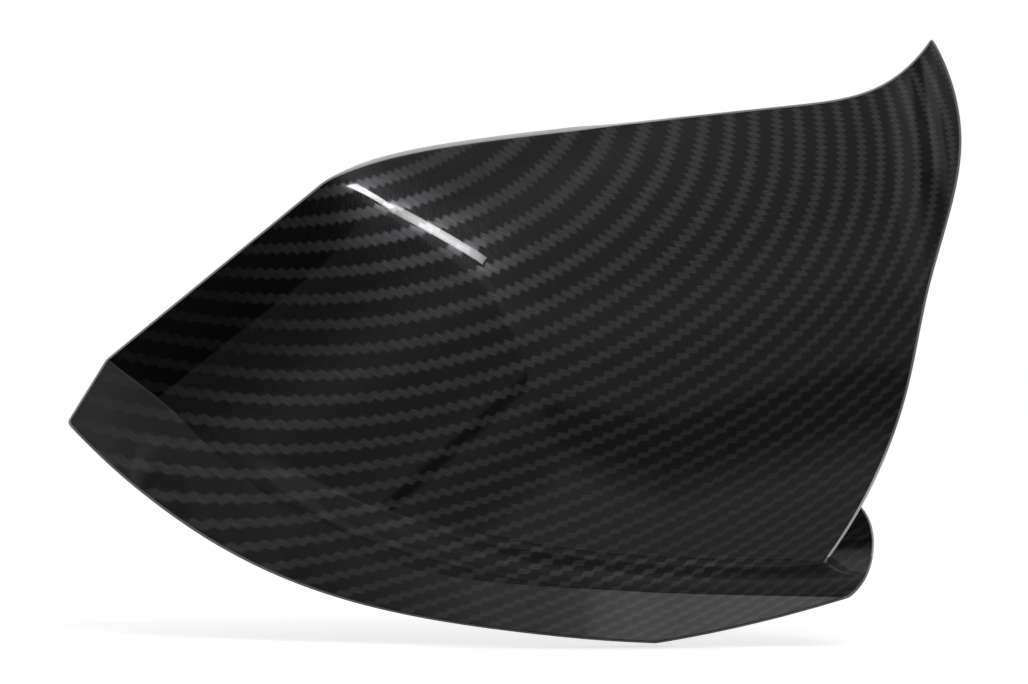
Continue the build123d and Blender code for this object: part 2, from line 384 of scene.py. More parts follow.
@dataclass(frozen=True)
class CoverForm:
    """Sizes of the cover's skins and the rule that gives their depth in front of the rear rim.

    A depth works on numbers, on arrays and on the sockets of a node tree alike.
    """

    corner_x: Number = -47.0
    corner_z: Number = 45.2
    top_slope: Number = 0.105
    shoulder_lift: Number = 5.6
    shoulder_run: Number = 16.0
    horn_start_x: Number = 71.0
    horn_run: Number = 42.0
    horn_lift: Number = 14.2
    top_pitch_outer: Number = 1.52
    top_pitch_door: Number = 0.87
    top_pitch_start_x: Number = -25.0
    top_pitch_run: Number = 150.0
    top_easing: Number = 171.0
    outer_rim_x: Number = -104.2
    outer_rim_z: Number = -0.3
    outer_rim_rise: Number = math.tan(OUTER_RIM_SLANT)
    front_depth: Number = 92.0
    front_run: Number = 72.0
    door_fall_start_x: Number = 10.0
    door_fall: Number = 0.0008
    ridge_crisp: Number = 0.9
    ridge_spread: Number = 0.05
    ridge_soft: Number = 37.5
    ridge_fade_x: Number = -10.0
    ridge_fade_run: Number = 50.0
    ledge_step: Number = 10.0
    ledge_sink: Number = 1.5
    ledge_pitch: Number = 1.8
    ledge_pitch_outer: Number = 0.54
    ledge_curl: Number = 18.0
    ledge_rounding: Number = 6.0
    ledge_start_x: Number = -95.0
    ledge_growth: Number = 110.0
    root_rounding: Number = 2.2
    root_fade_x: Number = 70.0
    root_fade_run: Number = 10.0
    least_rounding: Number = 0.002
    crease_rounding: Number = 0.15
    skirt_pitch_outer: Number = -0.65
    skirt_pitch_door: Number = 1.35
    skirt_turn_x: Number = -108.0
    skirt_turn_run: Number = 110.0

    def top_rim_z(self, x: Number) -> Number:
        """Height of the upper rim.

        Args:
            x: Place along the cover.

        Returns:
            The height.
        """
        run = x - self.corner_x
        swell = self.settled(run, self.shoulder_run)
        horn = most(x - self.horn_start_x, 0.0) / self.horn_run
        sweep = horn * horn
        straight = self.corner_z + self.top_slope * run
        return straight + self.shoulder_lift * swell + self.horn_lift * sweep * sweep

    def settled(self, way: Number, run: Number) -> Number:
        """Climbs from 0 over about a run, settles at 1, and falls straight before 0."""
        return 1.0 - grown(-most(way, 0.0) / run) + least(way, 0.0) / run

    def top(self, x: Number, z: Number) -> Number:
        """Depth of the top face.

        Args:
            x: Place along the cover.
            z: Height.

        Returns:
            The depth.
        """
        drop = self.top_rim_z(x) - z
        change = ease((x - self.top_pitch_start_x) / self.top_pitch_run)
        pitch = between(self.top_pitch_outer, self.top_pitch_door, change)
        below = most(drop, 0.0)
        return pitch * (below / (1.0 + below / self.top_easing) + least(drop, 0.0))

    def front(self, x: Number, z: Number) -> Number:
        """Depth of the front face.

        Args:
            x: Place along the cover.
            z: Height.

        Returns:
            The depth.
        """
        across = self.outer_rim_rise * (x - self.outer_rim_x) - (z - self.outer_rim_z)
        inward = across * math.cos(OUTER_RIM_SLANT)
        past = most(x - self.door_fall_start_x, 0.0)
        rise = self.settled(inward, self.front_run)
        return self.front_depth * rise - self.door_fall * past * past

    def upper(self, x: Number, z: Number) -> Number:
        """Depth of the top and front faces with the ridge between them.

        Args:
            x: Place along the cover.
            z: Height.

        Returns:
            The depth.
        """
        fade = ease((x - self.ridge_fade_x) / self.ridge_fade_run)
        run = least(most(x - self.corner_x, 0.0), self.ridge_fade_x - self.corner_x)
        near = self.ridge_crisp + self.ridge_spread * run
        blend = between(near, self.ridge_soft, fade)
        return soft_min(self.top(x, z), self.front(x, z), blend)

    def ledge(self, x: Number, z: Number, ledge_z: Number) -> Number:
        """Depth of the ledge, which lies behind the front face above its line.

        Args:
            x: Place along the cover.
            z: Height.
            ledge_z: Height of the ledge's root at that place.

        Returns:
            The depth.
        """
        growth = ease((x - self.ledge_start_x) / self.ledge_growth)
        step = (self.ledge_step + self.ledge_sink) * growth - self.ledge_sink
        drop = ledge_z - z
        behind = least(drop, 0.0)
        climb = most(drop, 0.0) + behind / (1.0 - behind / self.ledge_curl)
        pitch = between(self.ledge_pitch_outer, self.ledge_pitch, growth)
        return self.upper(x, z) + soft_min(pitch * climb, step, self.ledge_rounding)

    def outer(self, x: Number, z: Number, ledge_z: Number, crease_z: Number) -> Number:
        """Depth of the whole outside, with its crease and the root of its ledge rounded.

        Args:
            x: Place along the cover.
            z: Height.
            ledge_z: Height of the ledge's root at that place.
            crease_z: Height of the crease there.

        Returns:
            The depth.
        """
        fade = ease((x - self.root_fade_x) / self.root_fade_run)
        root = self.root_rounding * (1.0 - fade) + self.least_rounding
        face = soft_max(self.upper(x, z), self.ledge(x, z, ledge_z), root)
        edge = most(self.upper(x, crease_z), self.ledge(x, crease_z, ledge_z))
        turn = ease((x - self.skirt_turn_x) / self.skirt_turn_run)
        pitch = between(self.skirt_pitch_outer, self.skirt_pitch_door, turn)
        return soft_min(face, edge + pitch * (z - crease_z), self.crease_rounding)


class Sheet(Enum):
    """The three sheets that the skin is laid out in."""

    FACE = "face"
    LOWER = "lower"
    BLADE = "blade"


@dataclass(frozen=True)
class CutEdges:
    """The cover's cut edges in the front view.

    Each edge is a few points, in order; the counts say how finely the curves between them are
    traced. The arc is the small round at the outer tip, where the sample gives the direction.
    """

    outer_side: Point = (-100.0, 10.0)
    outer_tip: Point = (-121.0, -21.2)
    outer_tip_radius: float = 2.4
    lower: tuple[Point, ...] = ((-95.2, -41.7), (-68.9, -57.4), (-37.9, -68.2), (3.6, -74.9))
    lower_point: Point = (36.7, -77.5)
    lower_bow: Point = (62.5, -72.0)
    fin_foot: Point = (85.9, -65.2)
    fin_side: tuple[Point, ...] = ((91.9, -57.8), (93.4, -52.0), (92.4, -46.0))
    fin_top: Point = (88.0, -41.0)
    fin_hidden_run: float = 20.0
    horn_tip: Point = (113.0, 81.2)
    door: tuple[Point, ...] = (
        ((116.9, 69.0), (118.3, 52.5), (114.8, 34.3))
        + ((108.5, 13.1), (102.6, -12.0), (96.8, -28.6))
    )
    door_foot: Point = (80.6, -56.3)
    edge_count: int = 40
    bow_count: int = 20
    fin_count: int = 30
    tip_sample: int = 3
    arc_count: int = 9
    arc_clearance: float = 0.3

    def lower_outline(self) -> np.ndarray:
        """The edge from the outer side round the tip to the fin's foot.

        Returns:
            Points along it.
        """
        curve = FairCurve((self.outer_tip, *self.lower, self.lower_point)).traced(self.edge_count)
        bow = (self.lower_point, self.lower_bow, self.fin_foot)
        bowed = FairCurve(bow).traced(self.bow_count)
        return np.concatenate([[self.outer_side], self.rounded_tip(curve), bowed[1:]])

    def rounded_tip(self, curve: np.ndarray) -> np.ndarray:
        """The lower edge with its sharp start at the outer tip rounded.

        Args:
            curve: Points along the lower edge, from the tip on.

        Returns:
            The points with the first few replaced by an arc.
        """
        tip = np.array(self.outer_tip)
        up = np.array(self.outer_side) - tip
        up /= np.hypot(*up)
        along = curve[self.tip_sample] - tip
        along /= np.hypot(*along)
        half = 0.5 * math.acos(float(up @ along))
        reach = self.outer_tip_radius / math.tan(half)
        middle = (up + along) / np.hypot(*(up + along))
        centre = tip + middle * self.outer_tip_radius / math.sin(half)
        start = tip + up * reach - centre
        end = tip + along * reach - centre
        shares = np.linspace(0.0, 1.0, self.arc_count)[:, None]
        arc = start * (1.0 - shares) + end * shares
        arc *= self.outer_tip_radius / np.hypot(*arc.T)[:, None]
        rest = curve[np.hypot(*(curve - tip).T) > reach + self.arc_clearance]
        return np.concatenate([centre + arc, rest])

    def door_outline(self) -> np.ndarray:
        """The edge from the fin's root up to the horn's tip."""
        knots = (self.horn_tip, *self.door, self.door_foot)
        return FairCurve(knots).traced(self.edge_count)[::-1]

    def fin_outline(self) -> np.ndarray:
        """The fin's edge from its foot round to its hidden top.

        Returns:
            Points along it.
        """
        curve = FairCurve((self.fin_foot, *self.fin_side, self.fin_top)).traced(self.fin_count)
        hidden = (self.door_foot[0] - self.fin_hidden_run, self.fin_top[1])
        return np.concatenate([curve, [hidden]])


def edge_distance(outline: np.ndarray, points: np.ndarray) -> tuple[np.ndarray, np.ndarray]:
    """How far points lie to the left of an outline, and the nearest points on it.

    Args:
        outline: The outline's points in order.
        points: The points to measure.

    Returns:
        Distances, negative on the right, and the nearest points.
    """
    starts = outline[:-1]
    steps = outline[1:] - starts
    best = np.full(len(points), np.inf)
    signs = np.ones(len(points))
    nearest = points.copy()
    for start, step in zip(starts, steps):
        away = points - start
        share = np.clip(away @ step / (step @ step), 0.0, 1.0)
        foot = start + share[:, None] * step
        gap = np.hypot(*(points - foot).T)
        closer = gap < best - TIE
        side = step[0] * away[:, 1] - step[1] * away[:, 0]
        best = np.where(closer, gap, best)
        signs = np.where(closer, np.where(side >= 0.0, 1.0, -1.0), signs)
        nearest = np.where(closer[:, None], foot, nearest)
    return best * signs, nearest


@dataclass
class SkinLayout:
    """The flat layout of the skin, drawn in the front view before it is lifted.

    The powers say how the rows of the face and of the skirt spread away from the ledge; the probe
    is the step that slopes are measured over, and the passes move points back onto the edges.
    """

    form: CoverForm
    edges: CutEdges
    ledge_line: FairLine
    crease_line: FairLine
    column_step: float = 0.65
    tip_margin: float = 2.0
    door_end: float = 120.0
    top_z: float = 86.0
    face_rows: int = 180
    face_even: float = 0.35
    face_power: float = 1.6
    blade_height: float = 18.0
    blade_rows: int = 28
    lip_rows: int = 26
    least_lip: float = 1.0
    skirt_height: float = 32.0
    skirt_rows: int = 40
    skirt_power: float = 1.5
    far_above: float = 200.0
    probe: float = 0.05
    least_slope: float = 0.2
    passes: int = 12

    def columns(self) -> np.ndarray:
        """Places of the columns, one of them at the root of the fin's slit.

        Returns:
            The places, from the outer end to the door.
        """
        foot = self.edges.door_foot[0]
        outer_end = self.edges.outer_tip[0] - self.tip_margin
        left = np.arange(foot, outer_end, -self.column_step)[::-1]
        right = np.arange(foot + self.column_step, self.door_end, self.column_step)
        return np.concatenate([left, right])

    def lines(self, x: np.ndarray) -> tuple[np.ndarray, np.ndarray]:
        """Heights of the crease and of the ledge's root, which never cross."""
        crease = self.crease_line.height(x)
        return crease, np.maximum(self.ledge_line.height(x), crease + self.least_lip)

    def sheet_grid(self, sheet: Sheet) -> tuple[np.ndarray, np.ndarray]:
        """Columns and rows of one sheet.

        Args:
            sheet: Which sheet.

        Returns:
            The places and the heights, as arrays of rows by columns.
        """
        x = self.columns()
        if sheet is Sheet.BLADE:
            x = x[x >= self.edges.door_foot[0]]
        crease, ledge = self.lines(x)
        if sheet is Sheet.FACE:
            share = np.linspace(0.0, 1.0, self.face_rows)[:, None]
            even = self.face_even
            climb = even * share + (1.0 - even) * share**self.face_power
            rows = between(ledge, self.top_z, climb)
        elif sheet is Sheet.BLADE:
            rows = ledge + np.linspace(0.0, self.blade_height, self.blade_rows)[:, None]
        else:
            lip = between(crease, ledge, np.linspace(0.0, 1.0, self.lip_rows)[:, None])
            share = np.linspace(1.0, 0.0, self.skirt_rows, endpoint=False)[:, None]
            rows = np.concatenate([crease - self.skirt_height * share**self.skirt_power, lip])
        return np.broadcast_to(x, rows.shape).copy(), rows

    def depth(self, points: np.ndarray) -> np.ndarray:
        """Depth of the outside at points of the front view."""
        x, z = points.T
        return self.form.outer(x, z, self.ledge_line.height(x), self.crease_line.height(x))

    def rim_distance(self, points: np.ndarray) -> tuple[np.ndarray, np.ndarray]:
        """How far points lie inside the rear rim, and points nearer to it.

        Args:
            points: The points to measure.

        Returns:
            Distances, negative outside, and the points moved onto the rim.
        """
        depth = self.depth(points)
        along = (self.depth(points + (self.probe, 0.0)) - depth) / self.probe
        up = (self.depth(points + (0.0, self.probe)) - depth) / self.probe
        slope = np.stack([along, up], axis=1)
        steep = np.maximum(np.hypot(along, up), self.least_slope)
        return depth / steep, points - slope * (depth / steep**2)[:, None]

    def limits(self, sheet: Sheet) -> list[Limit]:
        """What cuts a sheet off.

        Args:
            sheet: Which sheet.

        Returns:
            Functions that give a distance inside the cut and the nearest points on it.
        """
        if sheet is Sheet.FACE:
            return [self.rim_distance, partial(edge_distance, self.edges.door_outline())]
        fin = self.edges.fin_outline()
        if sheet is Sheet.BLADE:
            return [partial(edge_distance, fin)]
        lower = self.edges.lower_outline()
        side = np.concatenate([fin[:-1], [(self.edges.fin_top[0], self.far_above)]])
        return [self.rim_distance, partial(edge_distance, lower), partial(edge_distance, side)]

    def trimmed(self, sheet: Sheet) -> tuple[np.ndarray, np.ndarray]:
        """One sheet, cut to its edges.

        Args:
            sheet: Which sheet.

        Returns:
            Its points and its quads.
        """
        x, z = self.sheet_grid(sheet)
        points = np.stack([x.ravel(), z.ravel()], axis=1)
        limits = self.limits(sheet)
        inside = np.all([limit(points)[0] >= 0.0 for limit in limits], axis=0)
        index = np.arange(len(points)).reshape(x.shape)
        corners = [index[:-1, :-1], index[:-1, 1:], index[1:, 1:], index[1:, :-1]]
        quads = np.stack(corners, axis=-1).reshape(-1, 4)
        quads = quads[inside[quads].any(axis=1)]
        edge = np.setdiff1d(np.unique(quads), np.flatnonzero(inside))
        moved = points[edge]
        for _ in range(self.passes):
            for limit in limits:
                gap, nearest = limit(moved)
                moved = np.where((gap < 0.0)[:, None], nearest, moved)
        points[edge] = moved
        return points, quads


@dataclass
class GeometryTree:
    """A Geometry Nodes tree with named inputs, and its use on an object.

    Attributes:
        name: The tree's name.
        identifiers: Identifiers of its input sockets, by name.
    """

    name: str
    identifiers: dict[str, str] = field(default_factory=dict)

    def __post_init__(self) -> None:
        """Starts the tree with its geometry sockets."""
        self.tree = bpy.data.node_groups.new(self.name, "GeometryNodeTree")
        kind = "NodeSocketGeometry"
        for side in ("INPUT", "OUTPUT"):
            self.tree.interface.new_socket("Geometry", in_out=side, socket_type=kind)
        self.canvas = Canvas(self.tree)
        self.entry = self.canvas.node("NodeGroupInput")

    def size_input(self, name: str, kind: str = "NodeSocketFloat") -> Value:
        """Adds a named input.

        Args:
            name: The input's name.
            kind: The socket's type.

        Returns:
            Its value in the tree.
        """
        socket = self.tree.interface.new_socket(name, in_out="INPUT", socket_type=kind)
        self.identifiers[name] = socket.identifier
        return self.canvas.out(self.entry, name)

    def close(self, geometry: Node, material: Value) -> None:
        """Ends the tree in smooth shading, real geometry and a material.

        Args:
            geometry: The node that makes the finished geometry.
            material: The material input.
        """
        canvas = self.canvas
        smooth = canvas.node("GeometryNodeSetShadeSmooth", {"Geometry": geometry})
        real = canvas.node("GeometryNodeRealizeInstances", {"Geometry": smooth})
        dressed = canvas.node("GeometryNodeSetMaterial", {"Geometry": real, "Material": material})
        canvas.node("NodeGroupOutput", {0: dressed})

    def applied_to(self, mesh: Mesh, inputs: dict[str, Any], name: str) -> Object:
        """Runs the tree on a mesh and keeps the result as a plain mesh.

        Args:
            mesh: What the tree starts from.
            inputs: Values of the named inputs.
            name: The new piece's name.

        Returns:
            The new piece, at the origin.
        """
        piece = placed(name, mesh)
        modifier = piece.modifiers.new(self.name, "NODES")
        modifier.node_group = self.tree
        for key, value in inputs.items():
            modifier[self.identifiers[key]] = value
        graph = bpy.context.evaluated_depsgraph_get()
        graph.update()
        result = bpy.data.meshes.new_from_object(piece.evaluated_get(graph))
        piece.modifiers.remove(modifier)
        piece.data = result
        result.name = name
        return piece


class SkinTree(GeometryTree):
    """Lifts the flat layout of the skin by the cover's depth rule."""

    def build(self, form: CoverForm) -> None:
        """Writes the rule into the tree, with every size as a named input.

        Args:
            form: The cover's sizes, whose names the inputs take.
        """
        canvas = self.canvas
        sizes = {entry.name: self.size_input(entry.name) for entry in fields(form)}
        material = self.size_input("material", "NodeSocketMaterial")
        rule = replace(form, **sizes)
        x, _, z = canvas.split(canvas.node("GeometryNodeInputPosition"))
        ledge_z, crease_z, blade = (self.stored(name) for name in ("ledge_z", "crease_z", "blade"))
        outside = rule.outer(x, z, ledge_z, crease_z)
        depth = between(outside, rule.ledge(x, z, ledge_z), blade)
        parts = {"X": x * MM, "Y": depth * -MM, "Z": z * MM}
        lifted = canvas.node("ShaderNodeCombineXYZ", parts)
        sockets = {"Geometry": self.entry, "Position": lifted}
        self.close(canvas.node("GeometryNodeSetPosition", sockets), material)

    def stored(self, name: str) -> Value:
        """A number stored on the layout's points."""
        kind, sockets = "GeometryNodeInputNamedAttribute", {"Name": name}
        return self.canvas.out(self.canvas.node(kind, sockets, data_type="FLOAT"), "Attribute")


class RimTree(GeometryTree):
    """Runs a thin rolled edge along the open border of the skin."""

    def build(self) -> None:
        """Lays a round bead on every edge that has a face on one side only."""
        canvas = self.canvas
        names = ("radius", "swell", "swell_start", "swell_end", "swell_fade", "spacing")
        radius, swell, start, end, fade, spacing = (self.size_input(name) for name in names)
        sides = self.size_input("sides", "NodeSocketInt")
        material = self.size_input("material", "NodeSocketMaterial")
        faces = canvas.node("GeometryNodeInputMeshEdgeNeighbors")
        # a Compare node's whole numbers are its inputs 2 and 3
        single = canvas.node(
            "FunctionNodeCompare", {2: faces, 3: 1}, data_type="INT", operation="EQUAL"
        )
        path = canvas.node("GeometryNodeMeshToCurve", {"Mesh": self.entry, "Selection": single})
        even = canvas.node(
            "GeometryNodeResampleCurve", {"Curve": path, "Length": spacing}, mode="LENGTH"
        )
        x, _, z = canvas.split(canvas.node("GeometryNodeInputPosition"))
        risen = ease((x - start) / fade) * (1.0 - ease((x - end) / fade))
        share = 1.0 + swell * risen * canvas.math("GREATER_THAN", z, 0.0)
        ring = canvas.node(
            "GeometryNodeCurvePrimitiveCircle", {"Resolution": sides, "Radius": radius}
        )
        sockets = {"Curve": even, "Profile Curve": ring, "Scale": share}
        self.close(canvas.node("GeometryNodeCurveToMesh", sockets), material)


@dataclass(frozen=True)
class Drape:
    """How one set of tows runs over the cover, as a smooth count of tows across the front view.

    Attributes:
        start: The count under the origin.
        along: Tows in 100 mm towards the door.
        up: Tows in 100 mm upwards.
        bow: How the count bows along, across and up, in 100 mm squared.
        flare: How it flares at the far ends, in 100 mm cubed.
    """

    start: float
    along: float
    up: float
    bow: tuple[float, float, float]
    flare: tuple[float, float, float, float]

    def count(self, x: Value, z: Value) -> Value:
        """Tows counted at a place.

        Args:
            x: Place along the cover, in 100 mm.
            z: Height, in 100 mm.

        Returns:
            The count.
        """
        bowed = x * x * self.bow[0] + x * z * self.bow[1] + z * z * self.bow[2]
        in_x = x * self.flare[0] + z * self.flare[1]
        in_z = x * self.flare[2] + z * self.flare[3]
        return x * self.along + z * self.up + bowed + x * x * in_x + z * z * in_z + self.start


@dataclass(frozen=True)
class PaintedTowLight:
    """Painted light and shade on the tows: their brightness set by place, in tenths of a metre.

    It falls towards the door and rises upwards, as painted light from above; it is dark in the
    outer strip, a painted dark reflection, whose border leans below the middle; and it is bright
    in the hollow along the ledge, painted light that follows a bowed path.
    """

    level: float = 0.8
    door_fall: float = 0.35
    rise: float = 0.9
    rise_start: float = -0.3
    least_level: float = 0.4
    most_level: float = 1.4
    strip_start: float = 0.3
    strip_lean: float = 2.0
    strip_fall: float = 2.0
    strip_level: float = 0.2
    hollow_x: float = -0.69
    hollow_z: float = -0.29
    hollow_slope: float = -0.555
    hollow_bow: float = 0.258
    hollow_narrowness: float = 22.0
    hollow_onset: float = 4.0
    hollow_end: float = 0.4
    hollow_fade: float = 3.0
    hollow_gain: float = 0.9
    hollow_growth: float = 1.3
    hollow_most: float = 1.4

    def factor(self, canvas: Canvas, x: Value, z: Value) -> Value:
        """Painted light and shade, as a factor on the tows' colour.

        Args:
            canvas: Where the nodes go.
            x: Place along the cover.
            z: Height.

        Returns:
            A factor about 1.
        """
        # painted shade over the outer strip, where a dark room is reflected; painted light that
        # falls towards the door and rises upwards
        shut = most(self.strip_lean * least(z, 0.0) - x - self.strip_start, 0.0)
        level = self.level - self.door_fall * x + self.rise * most(z, self.rise_start)
        level = least(most(level, self.least_level), self.most_level)
        return most(level - self.strip_fall * shut, self.strip_level) + self.hollow(canvas, x, z)

    def hollow(self, canvas: Canvas, x: Value, z: Value) -> Value:
        """The painted light that the hollow along the ledge adds.

        Args:
            canvas: Where the nodes go.
            x: Place along the cover.
            z: Height.

        Returns:
            The addition.
        """
        along = x - self.hollow_x
        path = self.hollow_slope * along + self.hollow_bow * along * along
        above = z - self.hollow_z - path
        inside = ease(1.0 - canvas.math("ABSOLUTE", above) * self.hollow_narrowness)
        ended = ease(self.hollow_fade * (x - self.hollow_end))
        gain = least(self.hollow_gain + self.hollow_growth * x, self.hollow_most)
        # painted light: a bright band along the hollow at the foot of the face
        return gain * inside * (ease(self.hollow_onset * along) * (1.0 - ended))


@dataclass(frozen=True)
class TwillFinish:
    """Carbon twill under a thick clear coat, with painted light and shade on its tows.

    Grain and roughness are for dim and for bright tows. Lengths are in crossings.

    Attributes:
        repeat: After how many crossings the weave repeats.
        cover: How many of them a bright tow lies over.
        blur: How soft the ends of a bright tow are.
        bite: How far each tow steps past the one before it, at the middle.
        bite_across: How much further it steps for each tenth of a metre towards the door.
        bite_down: How much further it steps for each tenth of a metre downwards.
        curl: How round a tow is across.
        relief: How much a tow is painted darker towards its sides, as shade of its curve.
        fibres: Streaks in the width of a tow, and in its length to the next crossing.
        grain: How strongly the streaks show.
    """

    bright: Colour = (0.082, 0.085, 0.0915)
    dim: Colour = (0.01, 0.0104, 0.0112)
    repeat: float = 4.0
    cover: float = 1.45
    blur: float = 0.4
    bite: float = 0.84
    bite_across: float = 0.6
    bite_down: float = 0.3
    least_bite: float = 0.55
    curl: float = 3.0
    relief: float = 0.22
    fibres: tuple[float, float] = (5.0, 0.7)
    grain: tuple[float, float] = (2.1, 1.2)
    roughness: tuple[float, float] = (0.46, 0.42)
    bump_strength: float = 0.25
    bump_height: float = 0.00012
    bump_streaks: float = 0.3
    coat_roughness: float = 0.015
    coat_ior: float = 1.5
    stripes: Drape = Drape(0.0, 20.3, -61.1, (22.8, -6.0, 31.6), (5.0, -6.1, 43.3, -3.2))
    tows: Drape = Drape(0.0, 18.8, 56.2, (-15.2, 15.9, -5.4), (-6.0, -3.3, -9.8, 9.4))
    # painted light and shade on the tows, by place
    painted_light: PaintedTowLight = PaintedTowLight()

    def material(self) -> Material:
        """Builds the material.

        Returns:
            The finished material.
        """
        material, canvas = started_material("carbon_twill")
        x, _, z = canvas.split(canvas.place())
        x, z = x * TENTHS, z * TENTHS
        tow, slant = self.tows.count(x, z), self.stripes.count(x, z)
        cross = slant + tow
        across, under = (canvas.math("FRACT", count) - 0.5 for count in (tow, cross))
        over = self.over(canvas, x, z, slant, across)
        hump = over * self.arch(across) + (1.0 - over) * self.arch(under)
        streaks = over * self.fibre(canvas, tow, cross)
        streaks = streaks + (1.0 - over) * self.fibre(canvas, cross, tow)
        grain = between(*self.grain, over) * (streaks - 0.5)
        # painted light and shade: the tows' colour is scaled by place, and each tow is drawn
        # darker towards its sides
        shade = self.painted_light.factor(canvas, x, z) * (1.0 - self.relief + self.relief * hump + grain)
        toned = canvas.node(
            "ShaderNodeVectorMath",
            {0: canvas.blend(over, self.dim, self.bright), "Scale": shade},
            operation="SCALE",
        )
        relief = {
            "Strength": self.bump_strength,
            "Distance": self.bump_height,
            "Height": hump + self.bump_streaks * streaks,
        }
        surface = {
            "Base Color": toned,
            "Metallic": 1.0,
            "Roughness": between(*self.roughness, over),
            "Normal": canvas.node("ShaderNodeBump", relief),
            "Coat Weight": 1.0,
            "Coat Roughness": self.coat_roughness,
            "Coat IOR": self.coat_ior,
        }
        canvas.close(canvas.surface(surface))
        return material

    def over(self, canvas: Canvas, x: Value, z: Value, slant: Value, across: Value) -> Value:
        """Where the bright tows lie on top.

        Args:
            canvas: Where the nodes go.
            x: Place along the cover, in tenths of a metre.
            z: Height, in tenths of a metre.
            slant: Count of the stripes.
            across: Place across the bright tow, from -0.5 to 0.5.

        Returns:
            1 on a bright tow and 0 on a dim one.
        """
        bite = self.bite + self.bite_across * x - self.bite_down * z
        bite = least(most(bite, self.least_bite), 1.0)
        start = (self.repeat + 1.0 - self.cover) / 2.0
        step = canvas.math("FLOORED_MODULO", slant + bite * across + start, self.repeat)
        off = canvas.math("ABSOLUTE", step - self.repeat / 2.0)
        return ease((self.cover / 2.0 + self.blur / 2.0 - off) * (1.0 / self.blur))

    def arch(self, across: Value) -> Value:
        """Height of a tow across its width."""
        return 1.0 - self.curl * across * across

    def fibre(self, canvas: Canvas, fine: Value, coarse: Value) -> Value:
        """Fine streaks along a tow.

        Args:
            canvas: Where the nodes go.
            fine: Coordinate across the fibres.
            coarse: Coordinate along them.

        Returns:
            A value about 0.5 that streaks.
        """
        parts = {"X": fine * self.fibres[0], "Y": coarse * self.fibres[1]}
        spot = canvas.node("ShaderNodeCombineXYZ", parts)
        return canvas.noise(spot, scale=1.0, detail=1.0, dimensions="2D")


@dataclass(frozen=True)
class PaintedEdgeHighlight:
    """Painted highlight on the rolled edge: a light grey that stands in for the light it catches.

    It is brightest along a stretch of the top and at the foot of the door edge, above the slit; it
    turns dark towards the rear rim.
    """

    highlight_colour: Colour = (0.8, 0.8, 0.81)
    dark: Colour = (0.16, 0.162, 0.166)
    # how faint the painted highlight is away from the stretch of the top
    thin: float = 0.3
    rear_fade: float = 0.006
    top_start: float = -0.052
    top_start_fade: float = 0.01
    top_end: float = 0.03
    top_end_fade: float = 0.02
    foot_x: float = 0.0792
    foot_z: float = -0.035
    foot_fade: float = 0.012
    foot_highlight: float = 0.6
    slit_z: float = -0.0555
    mottle_least: float = 0.8
    mottle_span: float = 0.4
    mottle_scale: float = 60.0
    roughness: float = 0.3
    coat_roughness: float = 0.03

    def material(self) -> Material:
        """Builds the material.

        Returns:
            The finished material.
        """
        material, canvas = started_material("painted_edge_highlight")
        place = canvas.place()
        x, y, z = canvas.split(place)
        rear = ease(1.0 + y / self.rear_fade)
        begun = ease((x - self.top_start) / self.top_start_fade)
        ended = ease((x - self.top_end) / self.top_end_fade)
        rim = rear * between(self.thin, 1.0, begun * (1.0 - ended))
        near_door = canvas.math("GREATER_THAN", x, self.foot_x)
        foot = near_door * (1.0 - ease((z - self.foot_z) / self.foot_fade))
        above_slit = canvas.math("GREATER_THAN", z, self.slit_z)
        swells = canvas.noise(place, self.mottle_scale, detail=2.0)
        mottle = self.mottle_least + self.mottle_span * swells
        # painted highlight: how light the rolled edge is drawn, by place, with a random mottle
        light = most(rim, self.foot_highlight * foot * above_slit) * mottle
        surface = {
            "Base Color": canvas.blend(light, self.dark, self.highlight_colour),
            "Roughness": self.roughness,
            "Coat Weight": 1.0,
            "Coat Roughness": self.coat_roughness,
        }
        canvas.close(canvas.surface(surface))
        return material


@dataclass(frozen=True)
class MouldingFinish:
    """Satin black plastic with soft flow marks and a fine moulded grain, counted in a metre."""

    colour: Colour = (0.014, 0.0145, 0.0155)
    darkest: float = 0.75
    lightest: float = 1.3
    flow: float = 22.0
    roughness: float = 0.4
    roughness_drift: float = 0.14
    grain: float = 1400.0
    bump_strength: float = 0.3
    bump_height: float = 0.00008

    def material(self) -> Material:
        """Builds the material.

        Returns:
            The finished material.
        """
        material, canvas = started_material("satin_moulding")
        place = canvas.place()
        drift = canvas.noise(place, self.flow, detail=3.0)
        dark, light = (
            tuple(shade * part for part in self.colour) for shade in (self.darkest, self.lightest)
        )
        relief = {
            "Strength": self.bump_strength,
            "Distance": self.bump_height,
            "Height": canvas.noise(place, self.grain, detail=2.0),
        }
        surface = {
            "Base Color": canvas.blend(drift, dark, light),
            "Roughness": self.roughness + self.roughness_drift * drift,
            "Normal": canvas.node("ShaderNodeBump", relief),
        }
        canvas.close(canvas.surface(surface))
        return material


@dataclass(frozen=True)
class FloorFinish:
    """White paper with a faint grain, lifted to full white where the camera looks at it."""

    shade: float = 0.89
    drift: float = 0.02
    grain: float = 40.0
    lift: float = 0.64

    def material(self) -> Material:
        """Builds the material.

        Returns:
            The finished material.
        """
        material, canvas = started_material("white_floor")
        shade = self.shade + self.drift * canvas.noise(canvas.place(), self.grain, detail=2.0)
        sockets = {"Base Color": shade, "Roughness": 1.0, "Specular IOR Level": 0.0}
        paper = canvas.surface(sockets)
        white = {"Color": (1.0, 1.0, 1.0, 1.0), "Strength": self.lift}
        glow = canvas.node("ShaderNodeEmission", white)
        lifted = canvas.node("ShaderNodeAddShader", {0: paper, 1: glow})
        seen = canvas.node("ShaderNodeLightPath").outputs["Is Camera Ray"]
        canvas.close(canvas.node("ShaderNodeMixShader", {0: seen, 1: paper, 2: lifted}))
        return material


